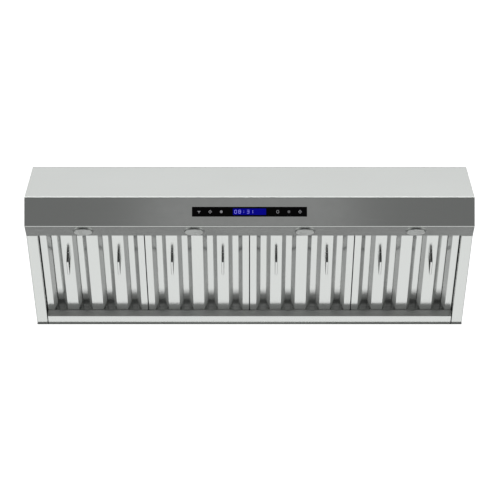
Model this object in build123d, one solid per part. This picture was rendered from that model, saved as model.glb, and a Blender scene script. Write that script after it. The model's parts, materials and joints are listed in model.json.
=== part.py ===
from build123d import *
import os
from math import cos, hypot, radians, sin

# An under cabinet range hood. All lengths are in millimetres.
# X runs across the hood, Y from the front to the wall, Z up. The origin is the centre of the four
# cabinet screw holes, on the outer face of the top panel.

# ---------------------------------------------------------------- case
WIDTH = 1213.0
DEPTH = 616.0
HEIGHT = 305.0
SHEET = 1.2
BEND = 3.0
BACK_Y = 166.0
LEAN = 39.0                      # how far the control band's top stands ahead of its lower edge
BAND_RISE = 68.6                 # height of the control band
TOP_DEPTH = 382.0                # flat top, from the slope to the wall
RAIL_DEPTH = 77.0                # light rail, front to back
RAIL_RISE = 15.0                 # how far the light rail climbs towards its rear edge
RAIL_FLANGE = 35.0               # return flange behind the light rail
UNDERSIDE = 14.4                 # side and rear rails, above the lower front edge
SIDE_FLANGE = 30.5
FLANGE_RISE = 38.0
RAIL_END_GAP = 2.0               # between the rear rail's ends and the side rails
REAR_LIP = 10.4                  # lower edge of the back panel, above the lower front edge
EDGE_Y = BACK_Y - DEPTH + LEAN   # the lower front edge
EDGE_Z = -HEIGHT
HALF = WIDTH / 2

# ---------------------------------------------------------------- mounting holes
CABINET_SPACING_X = 1100.0
CABINET_SPACING_Y = 240.0
WALL_SPACING_X = 1000.0
WALL_HOLE_DROP = 60.0
MOUNT_HOLE_R = 3.25
KNOCKOUT_R = 11.0
KNOCKOUT_AT = (60.0, 85.0)

# ---------------------------------------------------------------- baffle filters
FILTER_COUNT = 4
FILTER_PITCH = 287.4
FILTER_WIDTH = 285.4
FILTER_FRONT = 84.0              # measured back from the lower front edge
FILTER_REAR = 550.0
FILTER_BOTTOM = 35.3             # measured up from the lower front edge
FILTER_HEIGHT = 19.5
FILTER_SHEET = 0.8
EDGE_BAR = 18.2
WIDE_BAR = 30.9
WIDE_BARS = 3
LIP_RUN = 11.2                   # sloped lip of a lower channel, across
LIP_RISE = 7.8                   # and up
STRIP_WIDTH = 32.5
STRIP_DROP = 11.0
END_FLANGE = 14.0
LAP = 0.4                        # how far the frame's side channels end short of its end channels
RECESS_WALL = 535.0              # front of the rear rail, back from the lower front edge
SHELF_GAP = 0.3
HANDLE_FRONT = 206.0
HANDLE_REAR = 282.0
HANDLE_DROP = 29.0
HANDLE_WIDE = 6.4
HANDLE_THICK = 4.0
HANDLE_ROUND = 1.9               # corner radius of the bar's section
HANDLE_BEND = 5.0

# ---------------------------------------------------------------- lamps
LAMP_X = (-450.0, -150.0, 150.0, 450.0)
LAMP_BACK = 37.0                 # centre, back from the lower front edge
LAMP_TRIM_R = 28.5
LAMP_TRIM = 1.2
LAMP_R = 25.0
LAMP_LENS_R = 24.2
LAMP_CAN_R = 21.0
LAMP_PROUD = 4.5
LAMP_CAN_DEPTH = 14.0
LENS_THICK = 2.0

# ---------------------------------------------------------------- controls
GLASS_LONG = 310.0
GLASS_TALL = 26.4
GLASS_THICK = 3.0
GLASS_PROUD = 0.6
DISPLAY_LONG = 89.0
DISPLAY_TALL = 17.0
DISPLAY_THICK = 6.0
BOARD_THICK = 1.6
BOX_HALF_X = 100.0
BOX_FRONT = -80.0
BOX_REAR = 105.0
BOX_TALL = 68.0

# ---------------------------------------------------------------- blowers and collars
BLOWER_X = 260.0
DUCT_Y = 0.0
COLLAR_R = 100.8
COLLAR_WALL = 0.8
COLLAR_TALL = 40.0
COLLAR_FLANGE_R = 117.0
COLLAR_FLANGE = 1.0
DUCT_HOLE_R = 99.0
COLLAR_SCREW_R = 108.5
SCREW_ANGLES = (45, 135, 225, 315)
SCROLL_R = 86.0                  # first arc of the scroll; each next arc is larger by SCROLL_STEP
SCROLL_STEP = 12.0
SCROLL_HALF = 75.0
WHEEL_Z = -140.0
INLET_R = 66.0
PLATE_HALF = 113.0
PLATE = 1.0                      # sheet of the scroll and its side plates
WHEEL_R = 76.0
WHEEL_HALF = 60.0
BLADE_INNER_R = 62.0
BLADES = 24
HUB_R = 12.0
MOTOR_R = 42.0
MOTOR_INNER = 150.0              # the motor's end towards the middle of the hood
MOTOR_OUTER = 232.0
SHAFT_R = 4.0
RUNNING = 0.05                   # radial clearance of shafts and hinge rods

# ---------------------------------------------------------------- backdraft flaps
FLAP_R = 98.6
FLAP_HINGE = 6.0                 # each hinge rod, from the collar's middle
FLAP_Z = 14.0
FLAP_SHEET = 1.0
ROD_R = 2.0
KNUCKLE_R = 3.3
KNUCKLE_X = (-62.0, 62.0)
KNUCKLE_LONG = 30.0


# ---------------------------------------------------------------- helpers
def yz(back, up):
    """A point of the side profile, measured back and up from the lower front edge."""
    return (EDGE_Y + back, EDGE_Z + up)


def block(x0, x1, y0, y1, z0, z1):
    """A box between the given limits."""
    middle = Pos((x0 + x1) / 2, (y0 + y1) / 2, (z0 + z1) / 2)
    return middle * Box(x1 - x0, y1 - y0, z1 - z0)


def bent_outline(points, thickness, radius, side):
    """The section of a bent sheet: one face follows the points, the other lies inside by its thickness."""
    path = FilletPolyline(*points, radius=radius)
    return make_face(offset(path, thickness, side=side, closed=True).edges())


def sheet_along_x(points, thickness, x0, x1, radius=BEND, side=Side.LEFT):
    """A bent sheet whose section of (y, z) points runs from x0 to x1."""
    section = Plane.YZ * bent_outline(points, thickness, radius, side)
    return Pos(x0, 0, 0) * extrude(section, x1 - x0)


def sheet_along_y(points, thickness, y0, y1, radius=BEND, side=Side.LEFT):
    """A bent sheet whose section of (x, z) points runs from y0 to y1."""
    section = Plane.XZ * bent_outline(points, thickness, radius, side)
    return Pos(0, y1, 0) * extrude(section, y1 - y0)


def upright(x, y, z0, z1, radius):
    """A cylinder along Z."""
    return Pos(x, y, (z0 + z1) / 2) * Cylinder(radius, z1 - z0)


def crosswise(x0, x1, y, z, radius):
    """A cylinder along X."""
    return Pos((x0 + x1) / 2, y, z) * Rot(0, 90, 0) * Cylinder(radius, x1 - x0)


def tube(points, radius, bends):
    """A round lead along straight runs joined by arcs."""
    path = FilletPolyline(*points, radius=bends)
    start = Plane(path @ 0, z_dir=path % 0)
    return sweep(start * Circle(radius), path=path)


def mirrored(shape):
    """The same shape, or list of shapes, on the other side of the hood's middle plane."""
    if isinstance(shape, list):
        return [mirrored(one) for one in shape]
    return mirror(shape, about=Plane.YZ)


# ---------------------------------------------------------------- reference planes
def band_plane(out=0.0):
    """The control band's outer face: x across, y up the band, z out of it, from the band's middle."""
    y, z = yz(-LEAN / 2, BAND_RISE / 2)
    length = hypot(LEAN, BAND_RISE)
    normal = Vector(0, -BAND_RISE / length, -LEAN / length)
    return Plane(Vector(0, y, z) + normal * out, x_dir=(1, 0, 0), z_dir=normal)


def lamp_plane(x, out=0.0):
    """The light rail's outer face at a lamp: x across, z down out of the rail."""
    y, z = yz(LAMP_BACK, LAMP_BACK * RAIL_RISE / RAIL_DEPTH)
    length = hypot(RAIL_DEPTH, RAIL_RISE)
    normal = Vector(0, RAIL_RISE / length, -RAIL_DEPTH / length)
    return Plane(Vector(x, y, z) + normal * out, x_dir=(1, 0, 0), z_dir=normal)


def disc_in(plane, radius, thickness):
    """A disc that starts on a plane and goes back into the hood."""
    return extrude(plane * Circle(radius), -thickness)


# ---------------------------------------------------------------- case
def front_fascia():
    fraction = (HEIGHT - SHEET - BAND_RISE) / (HEIGHT - BAND_RISE)
    top_back = -LEAN + fraction * (DEPTH - TOP_DEPTH)
    profile = [
        yz(top_back + 22, HEIGHT - SHEET),
        yz(top_back, HEIGHT - SHEET),
        yz(-LEAN, BAND_RISE),
        yz(0, 0),
        yz(RAIL_DEPTH, RAIL_RISE),
        yz(RAIL_DEPTH, RAIL_RISE + RAIL_FLANGE),
    ]
    sheet = sheet_along_x(profile, SHEET, -HALF, HALF)
    sheet -= extrude(band_plane(5) * RectangleRounded(GLASS_LONG - 6, GLASS_TALL - 6, 2), -20)
    for side in (-1, 1):
        ends = sorted((side * (HALF - SHEET - 0.2), side * (HALF + 1)))
        behind, over = yz(RAIL_DEPTH - 3, RAIL_RISE + 2)
        sheet -= block(*ends, behind, behind + 9, over, over + 60)
    for x in LAMP_X:
        sheet -= disc_in(lamp_plane(x, 5), LAMP_CAN_R + 0.4, 20)
    return sheet


def top_panel():
    top = block(-HALF, HALF, BACK_Y - TOP_DEPTH, BACK_Y, -SHEET, 0)
    for x in (-CABINET_SPACING_X / 2, CABINET_SPACING_X / 2):
        for y in (-CABINET_SPACING_Y / 2, CABINET_SPACING_Y / 2):
            top -= upright(x, y, -5, 5, MOUNT_HOLE_R)
    for x in (-BLOWER_X, BLOWER_X):
        top -= upright(x, DUCT_Y, -5, 5, DUCT_HOLE_R)
        for angle in SCREW_ANGLES:
            top -= upright(*collar_screw_at(x, angle), -5, 5, 2.1)
    return top - upright(*KNOCKOUT_AT, -5, 5, KNOCKOUT_R)


def back_panel():
    back = block(-HALF, HALF, BACK_Y - SHEET, BACK_Y, EDGE_Z + REAR_LIP, -SHEET)
    for x in (-WALL_SPACING_X / 2, WALL_SPACING_X / 2):
        hole = Pos(x, BACK_Y, -WALL_HOLE_DROP) * Rot(90, 0, 0) * Cylinder(MOUNT_HOLE_R, 10)
        back -= hole
    return back


def right_side_panel():
    inset = SHEET + 0.3
    top_front = BACK_Y - TOP_DEPTH - EDGE_Y
    slope = hypot(DEPTH - TOP_DEPTH, HEIGHT - BAND_RISE)
    along = ((DEPTH - TOP_DEPTH) / slope, (HEIGHT - BAND_RISE) / slope)
    outline = [
        yz(top_front + 2 * inset, HEIGHT - SHEET - inset),
        yz(-LEAN + inset * (along[0] + 0.75), BAND_RISE + inset * 0.1),
        yz(inset * 0.75, inset * 1.2),
        yz(RAIL_DEPTH - inset, RAIL_RISE + inset * 1.3),
        yz(RAIL_DEPTH + inset, UNDERSIDE + 12),
        yz(DEPTH - LEAN - SHEET, UNDERSIDE + 12),
        yz(DEPTH - LEAN - SHEET, HEIGHT - SHEET - inset),
    ]
    plate = extrude(Plane.YZ * make_face(Polyline(*outline, close=True)), SHEET)
    plate = Pos(HALF - SHEET, 0, 0) * plate
    under = EDGE_Z + UNDERSIDE
    turn = [
        (HALF, under + 14),
        (HALF, under),
        (HALF - SIDE_FLANGE, under),
        (HALF - SIDE_FLANGE, under + FLANGE_RISE),
    ]
    front = yz(RAIL_DEPTH + 0.1, 0)[0]
    flange = sheet_along_y(turn, SHEET, front, BACK_Y - SHEET, radius=2.0, side=Side.RIGHT)
    return plate + flange


def rear_filter_rail():
    rear = DEPTH - LEAN - SHEET
    shelf = FILTER_BOTTOM - SHELF_GAP
    profile = [
        yz(rear, UNDERSIDE + 16),
        yz(rear, UNDERSIDE),
        yz(RECESS_WALL, UNDERSIDE),
        yz(RECESS_WALL, shelf),
        yz(FILTER_REAR + 6, shelf),
        yz(FILTER_REAR + 6, shelf + 11),
    ]
    half = HALF - SIDE_FLANGE - RAIL_END_GAP
    return sheet_along_x(profile, SHEET, -half, half, radius=1.6, side=Side.RIGHT)


def filter_spring_clips():
    """Leaf springs on the flange behind the light rail, two to a filter."""
    start = RAIL_DEPTH
    clips = []
    profile = [
        yz(start, 48),
        yz(start, 40),
        yz(FILTER_FRONT - 1.4, 44 - 7),
        yz(start + 1.5, 28),
    ]
    for middle in filter_middles():
        for x in (middle - 70, middle + 70):
            clips.append(sheet_along_x(profile, 0.6, x - 9, x + 9, radius=1.0, side=Side.LEFT))
    return clips


# ---------------------------------------------------------------- filters
def filter_middles():
    first = -FILTER_PITCH * (FILTER_COUNT - 1) / 2
    return [first + FILTER_PITCH * k for k in range(FILTER_COUNT)]


def slot_width():
    return (FILTER_WIDTH - 2 * EDGE_BAR - WIDE_BARS * WIDE_BAR) / (WIDE_BARS + 1)


def bar_middles():
    pitch = WIDE_BAR + slot_width()
    return [pitch * (k - (WIDE_BARS - 1) / 2) for k in range(WIDE_BARS)]


def filter_frame(middle):
    low = EDGE_Z + FILTER_BOTTOM
    high = low + FILTER_HEIGHT
    front = EDGE_Y + FILTER_FRONT
    rear = EDGE_Y + FILTER_REAR
    half = FILTER_WIDTH / 2
    side = [
        (half - 8, high),
        (half, high),
        (half, low),
        (half - EDGE_BAR, low),
        (half - EDGE_BAR - LIP_RUN, low + LIP_RISE),
    ]
    right = sheet_along_y(side, FILTER_SHEET, front + LAP, rear - LAP, radius=1.2, side=Side.RIGHT)
    end = [
        (front + END_FLANGE, low + LAP / 2),
        (front, low + LAP / 2),
        (front, high - LAP / 2),
        (front + END_FLANGE, high - LAP / 2),
    ]
    inner = half - 1.3
    front_end = sheet_along_x(end, FILTER_SHEET, -inner, inner, radius=1.2, side=Side.RIGHT)
    rear_end = mirror(front_end, about=Plane.XZ.offset(-(front + rear) / 2))
    return Pos(middle, 0, 0) * (right + mirrored(right) + front_end + rear_end)


def baffle_ends():
    inset = FILTER_SHEET + 0.5
    return EDGE_Y + FILTER_FRONT + inset, EDGE_Y + FILTER_REAR - inset


def lower_baffles(middle):
    """Channels open at the top: their undersides are the filter's wide bars."""
    low = EDGE_Z + FILTER_BOTTOM + FILTER_SHEET + LAP / 2
    half = WIDE_BAR / 2
    section = [
        (-half - LIP_RUN, low + LIP_RISE),
        (-half, low),
        (half, low),
        (half + LIP_RUN, low + LIP_RISE),
    ]
    channel = sheet_along_y(section, FILTER_SHEET, *baffle_ends(), radius=1.2, side=Side.LEFT)
    return [Pos(middle + x, 0, 0) * channel for x in bar_middles()]


def upper_baffles(middle):
    """Channels open at the bottom, one over each slot between the bars."""
    high = EDGE_Z + FILTER_BOTTOM + FILTER_HEIGHT - FILTER_SHEET - LAP / 2
    half = STRIP_WIDTH / 2
    section = [
        (-half, high - STRIP_DROP),
        (-half, high),
        (half, high),
        (half, high - STRIP_DROP),
    ]
    channel = sheet_along_y(section, FILTER_SHEET, *baffle_ends(), radius=1.2, side=Side.RIGHT)
    pitch = WIDE_BAR + slot_width()
    places = [pitch * (k - WIDE_BARS / 2) for k in range(WIDE_BARS + 1)]
    return [Pos(middle + x, 0, 0) * channel for x in places]


def filter_handles(middle):
    """Two bow handles of flat bar with round edges, welded to the first and last wide bars."""
    inset = HANDLE_THICK / 2
    root = EDGE_Z + FILTER_BOTTOM + FILTER_SHEET + LAP / 2
    low = EDGE_Z + FILTER_BOTTOM - HANDLE_DROP + inset
    front = EDGE_Y + HANDLE_FRONT + inset
    rear = EDGE_Y + HANDLE_REAR - inset
    corners = [(0, front, root), (0, front, low), (0, rear, low), (0, rear, root)]
    path = FilletPolyline(*corners, radius=HANDLE_BEND)
    start = Plane(path @ 0, x_dir=(1, 0, 0), z_dir=path % 0)
    bow = sweep(start * RectangleRounded(HANDLE_WIDE, HANDLE_THICK, HANDLE_ROUND), path=path)
    first, _, last = bar_middles()
    return [Pos(middle + x, 0, 0) * bow for x in (first, last)]


# ---------------------------------------------------------------- lamps
def lamp_housing(x):
    """Trim ring, raised rim round the lens, and the can behind the light rail."""
    trim = disc_in(lamp_plane(x, LAMP_TRIM), LAMP_TRIM_R, LAMP_TRIM)
    trim = chamfer(trim.edges().sort_by(Axis.Z)[0], 0.8)
    rim = disc_in(lamp_plane(x, LAMP_PROUD), LAMP_R, LAMP_PROUD)
    rim = chamfer(rim.edges().sort_by(Axis.Z)[0], 0.4)
    can = disc_in(lamp_plane(x), LAMP_CAN_R, LAMP_CAN_DEPTH)
    seat = disc_in(lamp_plane(x, LAMP_PROUD + 1), LAMP_LENS_R, LENS_THICK + 1)
    return trim + rim + can - seat


def lamp_lens(x):
    return disc_in(lamp_plane(x, LAMP_PROUD), LAMP_LENS_R, LENS_THICK)


# ---------------------------------------------------------------- controls
def touch_glass():
    face = RectangleRounded(GLASS_LONG, GLASS_TALL, 1.5)
    glass = extrude(band_plane(GLASS_PROUD) * face, -GLASS_PROUD)
    plug = RectangleRounded(GLASS_LONG - 7, GLASS_TALL - 7, 1.5)
    plug = extrude(band_plane() * plug, -(GLASS_THICK - GLASS_PROUD))
    return glass + plug


def display_module():
    depth = GLASS_PROUD - GLASS_THICK
    return extrude(band_plane(depth) * Rectangle(DISPLAY_LONG, DISPLAY_TALL), -DISPLAY_THICK)


def touch_board():
    depth = GLASS_PROUD - GLASS_THICK
    board = extrude(band_plane(depth) * Rectangle(GLASS_LONG - 12, GLASS_TALL - 8), -BOARD_THICK)
    board -= extrude(band_plane(depth + 1) * Rectangle(DISPLAY_LONG + 1, GLASS_TALL), -10)
    return board


def control_box():
    outer = block(-BOX_HALF_X, BOX_HALF_X, BOX_FRONT, BOX_REAR, -SHEET - BOX_TALL, -SHEET)
    inner = block(
        -BOX_HALF_X + 1, BOX_HALF_X - 1, BOX_FRONT + 1, BOX_REAR - 1, -SHEET - BOX_TALL - 1, -SHEET - 1
    )
    return outer - inner - upright(*KNOCKOUT_AT, -10, 5, KNOCKOUT_R)


def control_box_lid():
    low = -SHEET - BOX_TALL - 1
    plate = block(-BOX_HALF_X, BOX_HALF_X, BOX_FRONT, BOX_REAR, low, low + 1)
    rim = block(-BOX_HALF_X + 1.2, BOX_HALF_X - 1.2, BOX_FRONT + 1.2, BOX_REAR - 1.2, low + 1, low + 9)
    rim -= block(-BOX_HALF_X + 2.2, BOX_HALF_X - 2.2, BOX_FRONT + 2.2, BOX_REAR - 2.2, low, low + 12)
    return plate + rim


def power_board():
    """Board on four posts, with its transformer, relays and connector."""
    high = -SHEET - 9
    board = block(-85, 30, -70, 50, high - BOARD_THICK, high)
    for x in (-80, 25):
        for y in (-65, 45):
            board += upright(x, y, high, -SHEET - 1, 3)
    under = high - BOARD_THICK
    board += block(-78, -38, -45, 5, under - 32, under)
    for k in range(3):
        board += block(-25 + 17 * k, -12 + 17 * k, -55, -27, under - 16, under)
    board += block(-25, 22, 25, 36, under - 12, under)
    return board


def run_capacitors():
    high = -SHEET - 1
    return [Pos(70, y, high - 16) * Rot(0, 90, 0) * Cylinder(16, 50) for y in (-55, -18)]


def terminal_block():
    high = -SHEET - 1
    body = block(35, 85, 40, 60, high - 18, high)
    for k in range(3):
        body -= Pos(45 + 15 * k, 50, high - 18) * Cylinder(3, 8)
    return body


def cable_bushing():
    x, y = KNOCKOUT_AT
    body = upright(x, y, -12, 0, KNOCKOUT_R)
    body += upright(x, y, 0, 3, KNOCKOUT_R + 3)
    body += upright(x, y, -12, -SHEET - 1, KNOCKOUT_R + 2.5)
    return body - upright(x, y, -20, 10, 7)


def wiring_harness():
    """A main lead to the light rail, a lead along the lamps, and one lead to each motor."""
    z_box = -40
    rail_y, rail_z = yz(52, 37)
    band_y, band_z = yz(14, 52)
    trunk = tube(
        [
            (0, BOX_FRONT, z_box),
            (0, BOX_FRONT - 60, z_box),
            (0, band_y + 70, band_z + 80),
            (0, rail_y, rail_z + 3),
        ],
        3, 22,
    )
    along = crosswise(LAMP_X[0] - 10, LAMP_X[-1] + 10, rail_y, rail_z, 3)
    lead = tube(
        [
            (BOX_HALF_X, wheel_y() + 24, z_box), (BOX_HALF_X + 26, wheel_y() + 24, z_box),
            (BOX_HALF_X + 26, wheel_y() + 24, WHEEL_Z), (MOTOR_INNER, wheel_y() + 24, WHEEL_Z),
        ],
        2.5, 12,
    )
    return [trunk, along, lead, mirrored(lead)]


# ---------------------------------------------------------------- blowers
def wheel_y():
    """The scroll's outlet runs from above the wheel's axis to the largest arc, centred on the duct."""
    return DUCT_Y - (2 * SCROLL_STEP + SCROLL_R + SCROLL_STEP) / 2


def scroll_face(inset):
    """The scroll's side view: three arcs of growing radius and a straight outlet up to the top panel."""
    y, z = wheel_y(), WHEEL_Z
    r1 = SCROLL_R - inset
    r2 = SCROLL_R + SCROLL_STEP - inset
    r3 = SCROLL_R + 2 * SCROLL_STEP - inset
    c2 = (y + SCROLL_STEP, z)
    c3 = (y + SCROLL_STEP, z + SCROLL_STEP)
    top = -SHEET
    diagonal = radians(45)
    start = (y + inset, z + (r1 ** 2 - inset ** 2) ** 0.5)
    first = ThreePointArc(start, (y - r1 * cos(diagonal), z + r1 * sin(diagonal)), (y - r1, z))
    low_front = (c2[0] - r2 * cos(diagonal), z - r2 * sin(diagonal))
    second = ThreePointArc((c2[0] - r2, z), low_front, (c2[0], z - r2))
    low_rear = (c3[0] + r3 * cos(diagonal), c3[1] - r3 * sin(diagonal))
    third = ThreePointArc((c3[0], c3[1] - r3), low_rear, (c3[0] + r3, c3[1]))
    outlet = Polyline((c3[0] + r3, c3[1]), (c3[0] + r3, top), (start[0], top), start)
    return make_face([*first.edges(), *second.edges(), *third.edges(), *outlet.edges()])


def right_blower_scroll():
    """The curved wrap between the side plates, open at the top."""
    x0 = BLOWER_X - SCROLL_HALF + PLATE
    wrap = Plane.YZ * scroll_face(0) - Plane.YZ * scroll_face(PLATE)
    return Pos(x0, 0, 0) * extrude(wrap, 2 * (SCROLL_HALF - PLATE))


def right_blower_plates():
    """Two side plates with the inlets, and the plate that screws the blower to the top panel."""
    side = extrude(Plane.YZ * scroll_face(0), PLATE)
    side -= crosswise(-5, 5, wheel_y(), WHEEL_Z, INLET_R)
    plates = [Pos(BLOWER_X + x, 0, 0) * side for x in (-SCROLL_HALF, SCROLL_HALF - PLATE)]
    mounting = Pos(BLOWER_X, DUCT_Y, -SHEET - 0.75) * Box(2 * PLATE_HALF, 2 * PLATE_HALF, 1.5)
    mounting -= Pos(BLOWER_X - SCROLL_HALF, 0, 0) * extrude(Plane.YZ * scroll_face(0), 2 * SCROLL_HALF)
    for angle in SCREW_ANGLES:
        mounting -= upright(*collar_screw_at(BLOWER_X, angle), -5, 5, 2.1)
    return [*plates, mounting]


def impeller_blades():
    """Forward curved blades along Z, in two end rings."""
    blade = ThreePointArc((BLADE_INNER_R, 0), (69.5, 3.2), (WHEEL_R - 0.6, 10))
    blade = make_face(offset(blade, 0.8, side=Side.LEFT, closed=True).edges())
    blade = Pos(0, 0, -WHEEL_HALF) * extrude(blade, 2 * WHEEL_HALF)
    ring = Cylinder(WHEEL_R, 3) - Cylinder(WHEEL_R - 6, 3)
    wheel = Pos(0, 0, WHEEL_HALF - 1.5) * ring + Pos(0, 0, 1.5 - WHEEL_HALF) * ring
    return wheel + [Rot(0, 0, 360 / BLADES * k) * blade for k in range(BLADES)]


def on_wheel_axis(shape):
    return Pos(BLOWER_X, wheel_y(), WHEEL_Z) * Rot(0, 90, 0) * shape


def right_impeller():
    return on_wheel_axis(impeller_blades())


def right_impeller_disc():
    """Middle disc that holds the blades in its slots, with the hub."""
    disc = Cylinder(WHEEL_R - 4, 1.5) + Cylinder(HUB_R, 24) - Cylinder(SHAFT_R, 40)
    return on_wheel_axis(disc - impeller_blades())


def right_motor_shaft():
    return crosswise(MOTOR_INNER + 20, BLOWER_X + 16, wheel_y(), WHEEL_Z, SHAFT_R)


def right_motor():
    y, z = wheel_y(), WHEEL_Z
    body = crosswise(MOTOR_INNER, MOTOR_OUTER, y, z, MOTOR_R)
    body = chamfer(body.edges().filter_by(GeomType.CIRCLE), 3)
    body += crosswise(MOTOR_OUTER, MOTOR_OUTER + 8, y, z, 14)
    for k in range(12):
        slot = block(MOTOR_OUTER - 22, MOTOR_OUTER - 8, -3, 3, MOTOR_R - 2, MOTOR_R + 2)
        body -= Pos(0, y, z) * Rot(30 * k + 15, 0, 0) * slot
    return body - crosswise(MOTOR_INNER + 12, MOTOR_OUTER + 12, y, z, SHAFT_R + RUNNING)


def right_motor_bracket():
    """A ring round the motor with three arms out to the rim of the inlet."""
    y, z = wheel_y(), WHEEL_Z
    wall = BLOWER_X - SCROLL_HALF
    arms = Part()
    for k in range(3):
        arm = block(wall - 2, wall, -8, 8, MOTOR_R + 1, INLET_R + 12)
        arms += Rot(120 * k + 60, 0, 0) * arm
    ring = crosswise(wall - 14, wall, 0, 0, MOTOR_R + 2)
    ring -= crosswise(wall - 16, wall + 2, 0, 0, MOTOR_R)
    return Pos(0, y, z) * (ring + arms)


def collar_screw_at(x, angle):
    return x + COLLAR_SCREW_R * cos(radians(angle)), DUCT_Y + COLLAR_SCREW_R * sin(radians(angle))


def right_duct_collar():
    """Round spigot with a flange, four stop tabs for the flaps, and the holes of the two rods."""
    x = BLOWER_X
    collar = upright(x, DUCT_Y, 0, COLLAR_TALL, COLLAR_R)
    collar += upright(x, DUCT_Y, 0, COLLAR_FLANGE, COLLAR_FLANGE_R)
    collar -= upright(x, DUCT_Y, -1, COLLAR_TALL + 1, COLLAR_R - COLLAR_WALL)
    stop = upright(x, DUCT_Y, FLAP_Z - 3, FLAP_Z - 1.2, COLLAR_R - 0.2)
    stop -= upright(x, DUCT_Y, FLAP_Z - 5, FLAP_Z + 1, COLLAR_R - 8)
    tabs = block(x - 14, x + 14, DUCT_Y - 130, DUCT_Y + 130, FLAP_Z - 4, FLAP_Z)
    collar += stop & tabs
    for y in (DUCT_Y - FLAP_HINGE, DUCT_Y + FLAP_HINGE):
        collar -= crosswise(x - 150, x + 150, y, FLAP_Z, ROD_R)
    for angle in SCREW_ANGLES:
        collar -= upright(*collar_screw_at(x, angle), -5, 5, 2.1)
    return collar


def damper_rods():
    reach = (COLLAR_R ** 2 - FLAP_HINGE ** 2) ** 0.5
    rods = []
    for x in (-BLOWER_X, BLOWER_X):
        for y in (DUCT_Y - FLAP_HINGE, DUCT_Y + FLAP_HINGE):
            rods.append(crosswise(x - reach, x + reach, y, FLAP_Z, ROD_R))
    return rods


def rear_flap(x):
    """Half disc with two rolled knuckles round its rod."""
    edge = DUCT_Y + FLAP_HINGE
    flap = upright(x, DUCT_Y, FLAP_Z - FLAP_SHEET / 2, FLAP_Z + FLAP_SHEET / 2, FLAP_R)
    flap &= block(x - 150, x + 150, edge, edge + 150, FLAP_Z - 5, FLAP_Z + 5)
    half = KNUCKLE_LONG / 2
    for middle in KNUCKLE_X:
        flap += crosswise(x + middle - half, x + middle + half, edge, FLAP_Z, KNUCKLE_R)
    flap -= crosswise(x - 150, x + 150, edge, FLAP_Z, ROD_R + RUNNING)
    stretches = [
        (-150, KNUCKLE_X[0] - half),
        (KNUCKLE_X[0] + half, KNUCKLE_X[1] - half),
        (KNUCKLE_X[1] + half, 150),
    ]
    for start, end in stretches:
        flap -= block(x + start, x + end, edge - 5, edge + KNUCKLE_R + 0.5, FLAP_Z - 5, FLAP_Z + 5)
    return flap


def front_flap(x):
    return Pos(2 * x, 2 * DUCT_Y, 0) * Rot(0, 0, 180) * rear_flap(x)


# ---------------------------------------------------------------- screws
def screw(length, head_r=3.8, shank_r=2.0):
    """Pan head screw pointing down from Z = 0, with a cross recess."""
    head = upright(0, 0, 0, 2.2, head_r)
    head = fillet(head.edges().sort_by(Axis.Z)[-1], 1.2)
    for angle in (0, 90):
        head -= Rot(0, 0, angle) * block(-2, 2, -0.5, 0.5, 1.2, 3)
    return head + upright(0, 0, -length, 0, shank_r)


def case_screws():
    screws = []
    for x in (-BLOWER_X, BLOWER_X):
        for angle in SCREW_ANGLES:
            sx, sy = collar_screw_at(x, angle)
            screws.append(Pos(sx, sy, COLLAR_FLANGE) * screw(8))
    return screws


# ---------------------------------------------------------------- node list
def all_nodes():
    nodes = {
        "front_fascia": front_fascia(),
        "top_panel": top_panel(),
        "back_panel": back_panel(),
        "right_side_panel": right_side_panel(),
        "left_side_panel": mirrored(right_side_panel()),
        "rear_filter_rail": rear_filter_rail(),
        "filter_spring_clips": filter_spring_clips(),
        "touch_glass": touch_glass(),
        "display_module": display_module(),
        "touch_board": touch_board(),
        "control_box": control_box(),
        "control_box_lid": control_box_lid(),
        "power_board": power_board(),
        "run_capacitors": run_capacitors(),
        "terminal_block": terminal_block(),
        "cable_bushing": cable_bushing(),
        "wiring_harness": wiring_harness(),
        "damper_rods": damper_rods(),
        "case_screws": case_screws(),
    }
    for number, middle in enumerate(filter_middles(), start=1):
        nodes[f"filter_frame_{number}"] = filter_frame(middle)
        nodes[f"filter_baffles_{number}"] = lower_baffles(middle) + upper_baffles(middle)
        nodes[f"filter_handles_{number}"] = filter_handles(middle)
    for number, x in enumerate(LAMP_X, start=1):
        nodes[f"lamp_housing_{number}"] = lamp_housing(x)
        nodes[f"lamp_lens_{number}"] = lamp_lens(x)
    pairs = {
        "blower_scroll": right_blower_scroll(),
        "blower_plates": right_blower_plates(),
        "impeller": right_impeller(),
        "impeller_disc": right_impeller_disc(),
        "motor": right_motor(),
        "motor_shaft": right_motor_shaft(),
        "motor_bracket": right_motor_bracket(),
        "duct_collar": right_duct_collar(),
    }
    for name, shape in pairs.items():
        nodes[f"right_{name}"] = shape
        nodes[f"left_{name}"] = mirrored(shape)
    for side, x in (("left", -BLOWER_X), ("right", BLOWER_X)):
        nodes[f"{side}_rear_damper_flap"] = rear_flap(x)
        nodes[f"{side}_front_damper_flap"] = front_flap(x)
    return nodes


os.makedirs("parts", exist_ok=True)
for name, shape in all_nodes().items():
    solid = Compound(children=list(shape)) if isinstance(shape, list) else shape
    export_step(solid, f"parts/{name}.step")
    print(name, round(solid.volume / 1000, 1), "cm3")
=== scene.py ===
import bmesh
import bpy
import json
from math import cos, hypot, pi, radians, sin
from mathutils import Matrix, Vector


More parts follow.
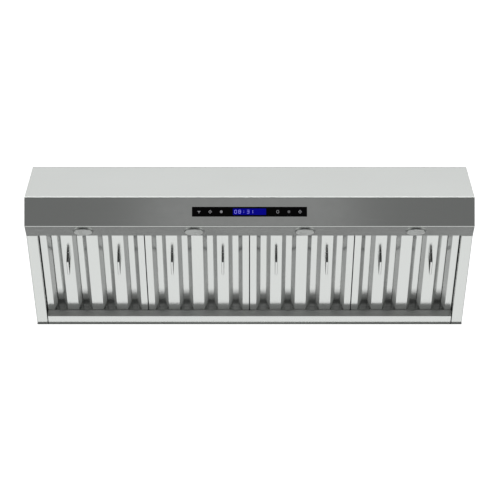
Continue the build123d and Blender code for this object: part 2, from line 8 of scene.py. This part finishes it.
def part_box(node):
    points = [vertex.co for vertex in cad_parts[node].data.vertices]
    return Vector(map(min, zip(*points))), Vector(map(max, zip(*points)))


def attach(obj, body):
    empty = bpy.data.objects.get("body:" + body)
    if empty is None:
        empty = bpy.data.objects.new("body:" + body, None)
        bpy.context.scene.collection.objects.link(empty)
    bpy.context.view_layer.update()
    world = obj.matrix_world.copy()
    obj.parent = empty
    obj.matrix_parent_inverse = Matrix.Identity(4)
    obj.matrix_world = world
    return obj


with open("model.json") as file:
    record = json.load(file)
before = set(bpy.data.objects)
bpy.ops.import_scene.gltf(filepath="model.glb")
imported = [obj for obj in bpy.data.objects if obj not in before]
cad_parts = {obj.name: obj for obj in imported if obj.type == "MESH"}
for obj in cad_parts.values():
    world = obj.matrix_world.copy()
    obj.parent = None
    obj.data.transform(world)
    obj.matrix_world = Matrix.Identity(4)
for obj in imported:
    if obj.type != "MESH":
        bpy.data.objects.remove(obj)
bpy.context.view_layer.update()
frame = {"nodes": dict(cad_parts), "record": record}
NODES = frame["nodes"]
scene = bpy.context.scene

# ---------------------------------------------------------------- places and sizes, in metres
EDGE = Vector((0, -0.411, -0.305))      # middle of the hood's lower front edge
LEAN = 0.039                            # the control band's top stands this far ahead of its lower edge
BAND_RISE = 0.0686                      # height of the control band
GLASS_PROUD = 0.0006                    # how far the touch glass stands out of the band
HANDLE_WIDE = 0.0064                    # a handle's bar, across
HANDLE_THICK = 0.0040
FILTERS = sum(node.startswith("filter_frame") for node in NODES)


# ---------------------------------------------------------------- node helpers
class Nodes:
    """Adds shader nodes to one material and links them."""

    def __init__(self, name):
        self.material = bpy.data.materials.new(name)
        self.material.use_nodes = True
        self.tree = self.material.node_tree
        self.shader = self.tree.nodes["Principled BSDF"]

    def add(self, kind, inputs=None, **settings):
        node = self.tree.nodes.new(kind)
        for key, value in settings.items():
            setattr(node, key, value)
        for key, value in (inputs or {}).items():
            self.set(node, key, value)
        return node

    def set(self, node, key, value):
        if isinstance(value, bpy.types.NodeSocket):
            self.tree.links.new(value, node.inputs[key])
        else:
            node.inputs[key].default_value = value

    def surface(self, **values):
        """Sets or links the shader's inputs, named with _ for each space."""
        for key, value in values.items():
            self.set(self.shader, key.replace("_", " "), value)

    def place(self, scale):
        """The object's own coordinates in metres, scaled along each axis."""
        coords = self.add("ShaderNodeTexCoord").outputs["Object"]
        mapping = self.add("ShaderNodeMapping", {"Vector": coords, "Scale": scale})
        return mapping.outputs["Vector"]

    def noise(self, scale, detail=3.0, stretch=(1, 1, 1), roughness=0.5):
        inputs = {"Vector": self.place(stretch), "Scale": scale, "Detail": detail, "Roughness": roughness}
        return self.add("ShaderNodeTexNoise", inputs).outputs["Fac"]

    def span(self, value, low, high, start=0.0, end=1.0):
        """Maps a value from start..end to low..high, clamped."""
        inputs = {"Value": value, "From Min": start, "From Max": end, "To Min": low, "To Max": high}
        return self.add("ShaderNodeMapRange", inputs).outputs["Result"]

    def colour(self, value, first, second, start=0.3, end=0.7):
        """Goes from the first colour to the second as a value goes from start to end."""
        ramp = self.add("ShaderNodeValToRGB", {"Fac": value})
        ramp.color_ramp.elements[0].position = start
        ramp.color_ramp.elements[0].color = (*first, 1)
        ramp.color_ramp.elements[1].position = end
        ramp.color_ramp.elements[1].color = (*second, 1)
        return ramp.outputs["Color"]

    def math(self, operation, a, b):
        node = self.add("ShaderNodeMath", operation=operation)
        self.set(node, 0, a)
        self.set(node, 1, b)
        return node.outputs["Value"]

    def bump(self, height, distance, strength=1.0):
        inputs = {"Height": height, "Distance": distance, "Strength": strength}
        return self.add("ShaderNodeBump", inputs).outputs["Normal"]

    def mix(self, share, first, second):
        inputs = {"Fac": share, "Color1": first, "Color2": (*second, 1)}
        return self.add("ShaderNodeMixRGB", inputs).outputs["Color"]

    def facing(self, axis):
        """How squarely the surface faces along one of the world's axes: 1 square on, 0 side on."""
        normal = self.add("ShaderNodeNewGeometry").outputs["Normal"]
        split = self.add("ShaderNodeSeparateXYZ", {0: normal})
        return self.math("ABSOLUTE", split.outputs[axis], 0.0)


# ---------------------------------------------------------------- materials
def brushed(name, tint, brush, rough=0.17, spread=0.03):
    """Sheet steel with brush lines, as helper, colour and roughness that can be added to.

    brush holds large numbers on the axes that the lines cross.
    """
    m = Nodes(name)
    lines = m.noise(1.0, detail=4.0, stretch=brush)
    smear = m.noise(3.2, detail=3.0)
    fine = m.noise(60.0, detail=2.0)
    uneven = m.math("ADD", m.math("MULTIPLY", lines, 0.6), m.math("MULTIPLY", smear, 0.4))
    colour = m.colour(uneven, tuple(c * 0.965 for c in tint), tint)
    streak = m.span(lines, rough - spread * 0.5, rough + spread, 0.3, 0.7)
    smudge = m.span(smear, -0.02, 0.035, 0.35, 0.7)
    wear = m.span(fine, -0.01, 0.015, 0.3, 0.7)
    roughness = m.math("ADD", m.math("ADD", streak, smudge), wear)
    m.surface(Base_Color=colour, Metallic=1.0, Roughness=roughness, Normal=m.bump(lines, 0.00002, 0.15))
    return m, colour, roughness


def brushed_steel(*look, **gloss):
    """The same steel with nothing added."""
    return brushed(*look, **gloss)[0].material


def baffle_steel():
    """The filters' brushed steel, with painted shade darkening the recessed strips deep in the channels near
    the rear edge.
    """
    m, steel_colour, _ = brushed("baffle_steel", FILTER_TINT, ALONG)
    coords = m.add("ShaderNodeTexCoord").outputs["Object"]
    place = m.add("ShaderNodeSeparateXYZ", {0: coords}).outputs
    low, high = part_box("filter_baffles_1")
    rear = m.span(place["Y"], 0.0, 1.0, high.y - 0.110, high.y - 0.085)
    deep = m.span(place["Z"], 0.0, 1.0, low.z + 0.004, low.z + 0.012)
    patchy = m.span(m.noise(30.0), 0.22, 0.34, 0.3, 0.7)
    # painted shade: darker on the recessed strips deep in the channels towards the rear edge, in patches
    painted_shade = m.math("MULTIPLY", m.math("MULTIPLY", rear, deep), patchy)
    m.surface(Base_Color=m.mix(painted_shade, steel_colour, (0.02, 0.02, 0.02)))
    return m.material


def moulded(name, tint, rough, texture=900.0):
    """Moulded plastic or paint with a fine texture and slightly uneven gloss."""
    m = Nodes(name)
    fine = m.noise(texture, detail=2.0)
    broad = m.noise(25.0)
    base = m.colour(broad, tuple(c * 0.88 for c in tint), tint)
    m.surface(Base_Color=base, Roughness=m.span(broad, rough - 0.06, rough + 0.08, 0.3, 0.7),
              Normal=m.bump(fine, 0.00004, 0.6))
    return m.material


def handle_steel():
    """Polished bar, full tone on its level run, with painted shade darkening its legs and rounded edges by
    the way they face.
    """
    m = Nodes("handle_steel")
    smear = m.noise(40.0)
    m.surface(
        # painted shade: the colour goes darker as the surface turns away from facing straight up or down
        Base_Color=m.colour(m.facing("Z"), (0.25, 0.252, 0.25), (0.80, 0.805, 0.80), 0.60, 0.92),
        Metallic=1.0, Roughness=m.span(smear, 0.04, 0.09, 0.3, 0.7),
        Normal=m.bump(m.noise(600.0), 0.000004, 0.3),
    )
    return m.material


def rail_steel():
    """The rear rail's brushed steel, more satin on its upright wall, with painted light making that wall's
    colour lighter.
    """
    m, colour, roughness = brushed("rail_steel", FILTER_TINT, ACROSS, rough=0.2)
    upright = m.span(m.facing("Y"), 0.0, 1.0, 0.4, 0.9)
    satin = m.math("ADD", roughness, m.math("MULTIPLY", upright, 0.22))
    # painted light: the colour is mixed lighter on the faces that look to the front or back
    m.surface(Base_Color=m.mix(upright, colour, (0.95, 0.96, 0.95)), Roughness=satin)
    return m.material


def galvanised_steel():
    """Zinc coated sheet with its spangle."""
    m = Nodes("galvanised")
    cells = m.add("ShaderNodeTexVoronoi", {"Vector": m.place((1, 1, 1)), "Scale": 90.0})
    shade = m.add("ShaderNodeSeparateColor", {"Color": cells.outputs["Color"]}).outputs["Red"]
    base = m.colour(shade, (0.44, 0.46, 0.48), (0.62, 0.64, 0.66), 0.1, 0.9)
    m.surface(Base_Color=base, Metallic=1.0, Roughness=m.span(shade, 0.28, 0.46),
              Normal=m.bump(m.noise(300.0), 0.00003, 0.5))
    return m.material


def black_glass():
    m = Nodes("black_glass")
    smear = m.noise(14.0)
    m.surface(Base_Color=m.colour(smear, (0.0010, 0.0010, 0.0012), (0.0016, 0.0016, 0.0018)),
              Roughness=m.span(smear, 0.04, 0.10, 0.3, 0.7), Normal=m.bump(m.noise(400.0), 0.000002, 0.3),
              Specular_IOR_Level=0.08)
    return m.material


def lens_plastic():
    """Translucent diffuser with moulded prisms."""
    m = Nodes("lamp_diffuser")
    cells = m.add("ShaderNodeTexVoronoi", {"Vector": m.place((1, 1, 1)), "Scale": 420.0}).outputs["Distance"]
    broad = m.noise(40.0)
    m.surface(Base_Color=m.colour(broad, (0.62, 0.63, 0.62), (0.72, 0.73, 0.72)),
              Roughness=m.span(broad, 0.22, 0.34, 0.3, 0.7), Normal=m.bump(cells, 0.00010, 0.4),
              Coat_Weight=0.3, Coat_Roughness=0.12)
    return m.material


def lit(name, tint):
    """A lit mark or window, a little uneven."""
    m = Nodes(name)
    fine = m.noise(700.0)
    m.surface(Base_Color=m.colour(fine, tuple(c * 0.3 for c in tint), tuple(c * 0.4 for c in tint)),
              Emission_Color=m.colour(fine, tuple(c * 0.9 for c in tint), tint),
              Roughness=m.span(fine, 0.25, 0.4), Normal=m.bump(fine, 0.000005, 0.3),
              Emission_Strength=1.0, Specular_IOR_Level=0.1)
    return m.material


def circuit_board():
    m = Nodes("circuit_board")
    brick = {
        "Vector": m.place((1, 1, 1)), "Scale": 90.0, "Mortar Size": 0.02,
        "Color1": (0.012, 0.10, 0.035, 1), "Color2": (0.02, 0.13, 0.05, 1), "Mortar": (0.10, 0.24, 0.10, 1),
    }
    tracks = m.add("ShaderNodeTexBrick", brick)
    m.surface(Base_Color=tracks.outputs["Color"], Roughness=m.span(m.noise(80.0), 0.3, 0.45),
              Normal=m.bump(tracks.outputs["Fac"], 0.00005, 0.5))
    return m.material


def woven_sleeve():
    m = Nodes("wire_sleeve")
    wave = {"Vector": m.place((1, 1, 1)), "Scale": 260.0, "Distortion": 1.0}
    weave = m.add("ShaderNodeTexWave", wave, bands_direction="DIAGONAL").outputs["Fac"]
    m.surface(Base_Color=m.colour(weave, (0.010, 0.010, 0.010), (0.035, 0.035, 0.036)),
              Roughness=m.span(weave, 0.55, 0.75), Normal=m.bump(weave, 0.0004, 0.6))
    return m.material


ACROSS = (1.2, 900.0, 900.0)            # brush lines along X
ALONG = (900.0, 1.2, 900.0)             # brush lines along Y
FILTER_TINT = (0.79, 0.80, 0.79)
MATERIALS = {
    "stainless": brushed_steel("stainless", (0.78, 0.792, 0.78), ACROSS),
    "filter_steel": brushed_steel("filter_steel", FILTER_TINT, ALONG),
    "handle_steel": handle_steel(),
    "spring_steel": brushed_steel("spring_steel", (0.42, 0.42, 0.43), ACROSS, rough=0.3),
    "plain_steel": brushed_steel("plain_steel", (0.62, 0.62, 0.63), (400, 400, 400), rough=0.28),
    "lamp_metal": brushed_steel("lamp_metal", (0.44, 0.45, 0.44), (500, 500, 500), rough=0.24),
    "capacitor_can": brushed_steel("capacitor_can", (0.72, 0.72, 0.73), ACROSS, rough=0.25),
    "galvanised": galvanised_steel(),
    "lamp_diffuser": lens_plastic(),
    "black_glass": black_glass(),
    "display_blue": lit("display_blue", (0.001, 0.001, 0.21)),
    "circuit_board": circuit_board(),
    "white_nylon": moulded("white_nylon", (0.72, 0.71, 0.66), 0.4),
    "black_nylon": moulded("black_nylon", (0.02, 0.02, 0.02), 0.45),
    "wire_sleeve": woven_sleeve(),
    "motor_paint": moulded("motor_paint", (0.035, 0.035, 0.038), 0.38, texture=500.0),
}
ICON = lit("icon_grey", (0.21, 0.21, 0.22))
DIM_ICON = lit("icon_dim", (0.10, 0.10, 0.105))
DIGIT = lit("digit_lavender", (0.26, 0.24, 0.80))

SLOT_OF = {s["node"]: s["material_slot"] for s in frame["record"]["subparts"]}
OWN_STEEL = {"rear_filter_rail": rail_steel(), "filter_baffles": baffle_steel()}


def material_of(node):
    """A node's own steel, or else the one for its slot. Numbered nodes share their steel."""
    return OWN_STEEL.get(node.rstrip("_1234"), MATERIALS[SLOT_OF[node]])


for node, thing in NODES.items():
    if not thing.material_slots:
        thing.data.materials.append(None)
    for slot in thing.material_slots:
        slot.material = material_of(node)


# ---------------------------------------------------------------- pieces
def piece(name, mesh_maker, material, body, smooth=True):
    """A mesh object that rides on a body."""
    bm = bmesh.new()
    mesh_maker(bm)
    bmesh.ops.recalc_face_normals(bm, faces=bm.faces)
    mesh = bpy.data.meshes.new(name)
    bm.to_mesh(mesh)
    bm.free()
    mesh.materials.append(material)
    if smooth:
        for polygon in mesh.polygons:
            polygon.use_smooth = True
    made = bpy.data.objects.new(name, mesh)
    scene.collection.objects.link(made)
    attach(made, body)
    return made


def band_frame(x, up, out):
    """A place on the control band: x across, up along it and out of it, as a matrix."""
    length = hypot(LEAN, BAND_RISE)
    rise = Vector((0, -LEAN / length, BAND_RISE / length))
    normal = Vector((0, -BAND_RISE / length, -LEAN / length))
    middle = EDGE + Vector((0, -LEAN / 2, BAND_RISE / 2))
    place = middle + Vector((x, 0, 0)) + rise * up + normal * out
    return Matrix((
        (1, rise.x, normal.x, place.x),
        (0, rise.y, normal.y, place.y),
        (0, rise.z, normal.z, place.z),
        (0, 0, 0, 1),
    ))


def slab(bm, outline, thickness, matrix, rim):
    """A thin plate with the given outline, whose upper face is smaller by the rim all round."""
    base = [bm.verts.new(matrix @ Vector((x, y, 0))) for x, y in outline]
    middle = Vector((sum(p[0] for p in outline), sum(p[1] for p in outline))) / len(outline)
    top = []
    for x, y in outline:
        inward = (middle - Vector((x, y))).normalized() * rim
        top.append(bm.verts.new(matrix @ Vector((x + inward.x, y + inward.y, thickness))))
    count = len(outline)
    bm.faces.new(base[::-1])
    bm.faces.new(top)
    for k in range(count):
        bm.faces.new((base[k], base[(k + 1) % count], top[(k + 1) % count], top[k]))


def polygon_points(sides, radius):
    return [(radius * cos(2 * pi * k / sides), radius * sin(2 * pi * k / sides)) for k in range(sides)]


def rectangle_points(wide, tall):
    return [(-wide / 2, -tall / 2), (wide / 2, -tall / 2), (wide / 2, tall / 2), (-wide / 2, tall / 2)]


# ---------------------------------------------------------------- controls
MARK = 0.00012                          # thickness of the display window and the key marks
DIGIT_MARK = 0.00006                    # and of the digits on the window
RIM = 0.0001                            # how far a mark's face is drawn in
SEGMENTS = {                            # across and up in segment lengths, and whether it is upright
    "a": (0, 1, 0), "b": (0.5, 0.5, 1), "c": (0.5, -0.5, 1), "d": (0, -1, 0),
    "e": (-0.5, -0.5, 1), "f": (-0.5, 0.5, 1), "g": (0, 0, 0),
}
DIGITS = {"0": "abcdef", "1": "bc", "3": "abgcd", "8": "abcdefg"}
READING = ((-0.0375, "0"), (-0.0265, "8"), (-0.004, "3"), (0.006, "1"))     # x and digit
COLON_X = -0.0155


def display_window(bm):
    slab(bm, rectangle_points(0.089, 0.017), MARK, band_frame(0, 0, GLASS_PROUD), RIM)


def display_digits(bm):
    """Seven segment digits and a colon."""
    tall, wide, bar = 0.0044, 0.0056, 0.0012
    out = GLASS_PROUD + MARK
    for place, digit in READING:
        for name in DIGITS[digit]:
            across, up, upright = SEGMENTS[name]
            size = (bar, tall * 0.86) if upright else (wide * 0.86, bar)
            at = band_frame(place + across * wide, up * tall, out)
            slab(bm, rectangle_points(*size), DIGIT_MARK, at, RIM)
    for up in (-0.002, 0.002):
        slab(bm, polygon_points(12, 0.0008), DIGIT_MARK, band_frame(COLON_X, up, out), RIM)


def icon(bm, x, kind):
    """A generic key mark: wedge, diamond, dot or ring."""
    at = band_frame(x, 0, GLASS_PROUD)
    if kind == "wedge":
        right = [(0.0008, -0.0040), (0.0012, -0.0012), (0.0050, 0.0020)]
        left = [(-across, up) for across, up in reversed(right)]
        slab(bm, left + right, MARK, at, RIM)
    if kind == "diamond":
        for k in range(4):
            side = at @ Matrix.Rotation(pi / 2 * k + pi / 4, 4, "Z") @ Matrix.Translation((0.0030, 0, 0))
            slab(bm, rectangle_points(0.0012, 0.0068), MARK, side, RIM)
        slab(bm, polygon_points(12, 0.0013), MARK, at, RIM)
    if kind == "dot":
        slab(bm, polygon_points(24, 0.0037), MARK, at, 2 * RIM)
    if kind == "ring":
        steps = 28
        for k in range(steps):
            turn = 2 * pi * k / steps
            move = Matrix.Translation((0.0032 * cos(turn), 0.0040 * sin(turn), 0))
            tile = at @ move @ Matrix.Rotation(turn, 4, "Z")
            slab(bm, rectangle_points(0.0013, 0.0012), MARK, tile, RIM)


piece("display_window", display_window, MATERIALS["display_blue"], "hood", smooth=False)
piece("display_digits", display_digits, DIGIT, "hood", smooth=False)
KEYS = (
    (-0.136, "wedge", ICON), (-0.106, "diamond", ICON), (-0.076, "dot", ICON),
    (0.076, "ring", ICON), (0.106, "dot", DIM_ICON), (0.136, "diamond", ICON),
)
for number, (x, kind, glow) in enumerate(KEYS, start=1):
    piece(f"key_mark_{number}", lambda bm: icon(bm, x, kind), glow, "hood", smooth=False)


# ---------------------------------------------------------------- handle welds
WELD_R = 0.0009                         # mean radius of the weld bead
WELD_STEPS = 48                         # along the bead
WELD_SIDES = 8                          # round its section


def handle_welds(bm, number):
    """A small uneven bead of weld round each foot of a filter's two handles."""
    low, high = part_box(f"filter_handles_{number}")
    bar_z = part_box(f"filter_baffles_{number}")[0].z
    across, along = HANDLE_WIDE / 2, HANDLE_THICK / 2
    clear = 0.0002
    for x in (low.x + across, high.x - across):
        for y in (low.y + along, high.y - along):
            weld_bead(bm, Vector((x, y, bar_z)), across + clear, along + clear)


def weld_bead(bm, middle, across, along):
    """A closed oval bead, rippled along its length and half sunk into the bar that it lies on."""
    rings = []
    for k in range(WELD_STEPS):
        turn = 2 * pi * k / WELD_STEPS
        size = WELD_R * (1 + 0.22 * sin(turn * 9) + 0.12 * sin(turn * 4 + middle.x * 90))
        out = Vector((cos(turn), sin(turn), 0))
        foot = middle + Vector((across * cos(turn), along * sin(turn), 0))
        ring = []
        for j in range(WELD_SIDES):
            angle = 2 * pi * j / WELD_SIDES
            offset = out * size * cos(angle) + Vector((0, 0, size * 0.7 * sin(angle)))
            ring.append(bm.verts.new(foot + offset))
        rings.append(ring)
    for k, ring in enumerate(rings):
        following = rings[(k + 1) % WELD_STEPS]
        for j in range(WELD_SIDES):
            after = (j + 1) % WELD_SIDES
            bm.faces.new((ring[j], following[j], following[after], ring[after]))


for number in range(1, FILTERS + 1):
    piece(f"handle_welds_{number}", lambda bm: handle_welds(bm, number), MATERIALS["plain_steel"],
          f"filter_{number}")


# ---------------------------------------------------------------- camera, light and stage
def camera():
    """A long lens in front of the hood and well below it, pointed up."""
    data = bpy.data.cameras.new("camera")
    data.lens = 221.3
    data.sensor_width = 36.0
    data.shift_x = -0.0061
    data.clip_end = 100.0
    cam = bpy.data.objects.new("camera", data)
    cam.location = EDGE + Vector((0, -7.059, -4.092))
    pitch = 29.72
    cam.rotation_euler = (radians(90 + pitch), 0, 0)
    scene.collection.objects.link(cam)
    scene.camera = cam


def studio_world():
    """Soft surround that lights the hood: bright low behind and high above, dim elsewhere."""
    world = bpy.data.worlds.new("studio")
    world.use_nodes = True
    tree = world.node_tree
    tree.nodes.clear()

    def add(kind, **settings):
        node = tree.nodes.new(kind)
        for key, value in settings.items():
            setattr(node, key, value)
        return node

    def smooth(value, start, end, low, high):
        node = add("ShaderNodeMapRange", interpolation_type="SMOOTHSTEP")
        tree.links.new(value, node.inputs["Value"])
        for key, number in (("From Min", start), ("From Max", end), ("To Min", low), ("To Max", high)):
            node.inputs[key].default_value = number
        return node.outputs["Result"]

    def join(operation, a, b):
        node = add("ShaderNodeMath", operation=operation)
        for k, value in enumerate((a, b)):
            if isinstance(value, bpy.types.NodeSocket):
                tree.links.new(value, node.inputs[k])
            else:
                node.inputs[k].default_value = value
        return node.outputs["Value"]

    def lobe(direction, inner, outer, strength):
        """A round soft patch of light: full within the inner angle and gone past the outer one."""
        node = add("ShaderNodeVectorMath", operation="DOT_PRODUCT")
        tree.links.new(coords, node.inputs[0])
        node.inputs[1].default_value = direction
        return smooth(node.outputs["Value"], cos(radians(outer)), cos(radians(inner)), 0.0, strength)

    coords = add("ShaderNodeTexCoord").outputs["Generated"]
    split = add("ShaderNodeSeparateXYZ")
    tree.links.new(coords, split.inputs[0])
    x, y, z = split.outputs
    below = smooth(z, -0.115, -0.42, 0.0, 0.70)
    behind = smooth(y, -0.45, 0.45, 0.0, 1.0)
    above = smooth(z, 0.70, 1.00, 0.0, 1.02)
    rear_half = smooth(y, -0.30, 0.10, 0.0, 1.0)
    sides = smooth(join("ABSOLUTE", x, 0.0), 0.70, 0.95, 0.0, 0.315)
    front_up = smooth(z, 0.10, 0.45, 0.0, 1.0)
    ahead = smooth(y, -0.40, -0.75, 0.0, 1.0)
    broad = join("MAXIMUM", join("MULTIPLY", below, behind), join("MULTIPLY", above, rear_half))
    parts = (
        lobe((0, -0.309, 0.951), 5.0, 14.0, 4.5),       # patch that lights the bend above the band
        lobe((0, -0.872, -0.49), 2.0, 12.0, 0.035),     # fill for the band and the recess wall
        lobe((0, -0.866, 0.5), 4.0, 11.0, -0.15),       # dark card above, in front
        sides,
        join("MULTIPLY", rear_half, 0.045),
        join("MULTIPLY", join("MULTIPLY", ahead, front_up), 0.07),
        0.147,                                          # everywhere
    )
    light = broad
    for part in parts:
        light = join("ADD", light, part)
    shine = add("ShaderNodeBackground")
    shine.inputs["Color"].default_value = (0.985, 1.0, 0.99, 1)
    tree.links.new(light, shine.inputs["Strength"])
    output = add("ShaderNodeOutputWorld")
    tree.links.new(shine.outputs[0], output.inputs[0])
    scene.world = world


def front_light():
    """A weak soft light square to the middle of the control band."""
    data = bpy.data.lights.new("front_soft", "AREA")
    data.shape = "DISK"
    data.size = 0.75
    data.energy = 0.17
    lamp = bpy.data.objects.new("front_soft", data)
    towards = Vector((0, -0.869, -0.495))
    distance = 2.4
    lamp.location = EDGE + Vector((0, -0.02, 0.034)) + towards * distance
    lamp.rotation_euler = (-towards).to_track_quat("-Z", "Y").to_euler()
    lamp.visible_camera = False
    scene.collection.objects.link(lamp)


def stage_material(name, tint):
    m = Nodes(name)
    m.surface(Base_Color=(*tint, 1), Roughness=0.9, Emission_Color=(*tint, 1),
              Emission_Strength=1.0, Specular_IOR_Level=0.0)
    return m.material


def stage_piece(name, bm, material):
    """A stage mesh that the camera sees and that takes no part in lighting."""
    mesh = bpy.data.meshes.new(name)
    bm.to_mesh(mesh)
    bm.free()
    mesh.materials.append(material)
    thing = bpy.data.objects.new(name, mesh)
    scene.collection.objects.link(thing)
    thing.visible_diffuse = False
    thing.visible_glossy = False
    thing.visible_transmission = False
    thing.visible_shadow = False
    return thing


def studio_stage():
    """Plain pale floor and a plain white dome, both only seen directly."""
    bm = bmesh.new()
    bmesh.ops.create_uvsphere(bm, u_segments=48, v_segments=24, radius=30.0)
    dome = stage_piece("backdrop", bm, stage_material("backdrop_white", (1.0, 1.0, 1.0)))
    bm = bmesh.new()
    bmesh.ops.create_circle(bm, cap_ends=True, segments=64, radius=28.0)
    floor = stage_piece("floor", bm, stage_material("floor_pale", (0.93, 0.93, 0.92)))
    floor.location.z = -9.6


camera()
studio_world()
front_light()
studio_stage()
scene.view_settings.view_transform = "Standard"
